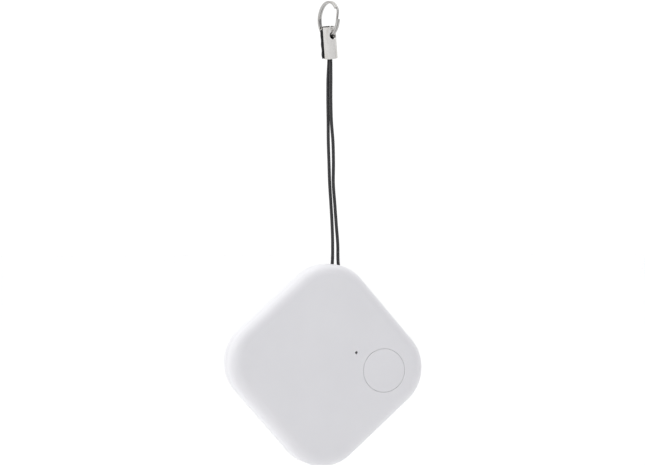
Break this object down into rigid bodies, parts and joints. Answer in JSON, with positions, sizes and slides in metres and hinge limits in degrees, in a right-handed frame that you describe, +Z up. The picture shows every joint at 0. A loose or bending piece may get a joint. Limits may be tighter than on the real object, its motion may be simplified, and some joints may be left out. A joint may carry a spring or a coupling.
{
  "type": "bluetooth tracker tag",
  "caption": "Rounded square key-finder tag with a round push button, hanging by one corner from a thin cord loop with a crimped metal ferrule and a small split ring.",
  "frame": {"origin": "inside top of the split ring, where a hook or key ring bears", "axes": "+Z up; the button side faces -Y and the battery cover +Y; +X is to the right seen from the button side"},
  "size_m": [0.0479, 0.0084, 0.1107],
  "materials": {
    "white_shell": "satin moulded ABS",
    "white_button": "satin moulded ABS",
    "black_plastic": "moulded",
    "circuit_board": "green solder mask",
    "black_cord": "fine braided nylon",
    "nickel_plate": "bright nickel plate",
    "cell_steel": "brushed",
    "brass": "bright",
    "ceramic": "matt",
    "foam": "closed-cell foam",
    "red_lead": "insulated wire"
  },
  "bodies": {
    "ring": {"split_ring": "nickel_plate"},
    "ferrule": {"ferrule": "nickel_plate", "crimped_cord_end": "black_cord"},
    "strap": {"strap_cord": "black_cord"},
    "case": {"front_shell": "white_shell", "circuit_board": "circuit_board", "bluetooth_chip": "black_plastic", "crystal": "nickel_plate", "chip_antenna": "ceramic", "matching_coil": "black_plastic", "bulk_capacitor": "ceramic", "supply_capacitor": "ceramic", "crystal_capacitor": "ceramic", "sounder_driver": "black_plastic", "pull_up_resistor": "black_plastic", "switch_body": "cell_steel", "battery_holder": "black_plastic", "positive_contact": "nickel_plate", "negative_contact": "nickel_plate", "sounder_foam_ring": "foam", "sounder_brass_disc": "brass", "sounder_ceramic_disc": "ceramic", "sounder_red_lead": "red_lead", "sounder_black_lead": "black_plastic"},
    "button": {"button_cap": "white_button"},
    "plunger": {"switch_plunger": "black_plastic"},
    "cover": {"back_cover": "white_shell"},
    "battery": {"cell_can": "cell_steel", "cell_cap": "cell_steel", "cell_gasket": "black_plastic"}
  },
  "joints": [
    {"name": "ferrule_swing", "type": "hinge", "parent": "ring", "child": "ferrule", "pos_m": [-0.0001, 0, -0.00755], "axis": [0.4191, -0.901, -0.112], "range_deg": [-60, 35]},
    {"name": "strap_flex", "type": "hinge", "parent": "ferrule", "child": "strap", "pos_m": [0.0006, 0.001, -0.0132], "axis": [1, 0, 0], "range_deg": [-45, 45]},
    {"name": "case_swing", "type": "hinge", "parent": "strap", "child": "case", "pos_m": [0.00166, 0, -0.06704], "axis": [0, 1, 0], "range_deg": [-12, 12]},
    {"name": "button_press", "type": "slide", "parent": "case", "child": "button", "axis": [0, 1, 0], "range_m": [0, 0.00025], "stiffness_N_per_m": 300},
    {"name": "switch_travel", "type": "slide", "parent": "case", "child": "plunger", "axis": [0, 1, 0], "range_m": [0, 0.00025]},
    {"name": "cover_release", "type": "slide", "parent": "case", "child": "cover", "axis": [0, 1, 0], "range_m": [0, 0.016]},
    {"name": "battery_release", "type": "slide", "parent": "case", "child": "battery", "axis": [0, 1, 0], "range_m": [0, 0.008]}
  ],
  "couplings": [
    {"joint": "switch_travel", "follows": "button_press", "ratio": 1},
    {"joint": "battery_release", "follows": "cover_release", "ratio": 0.5}
  ]
}
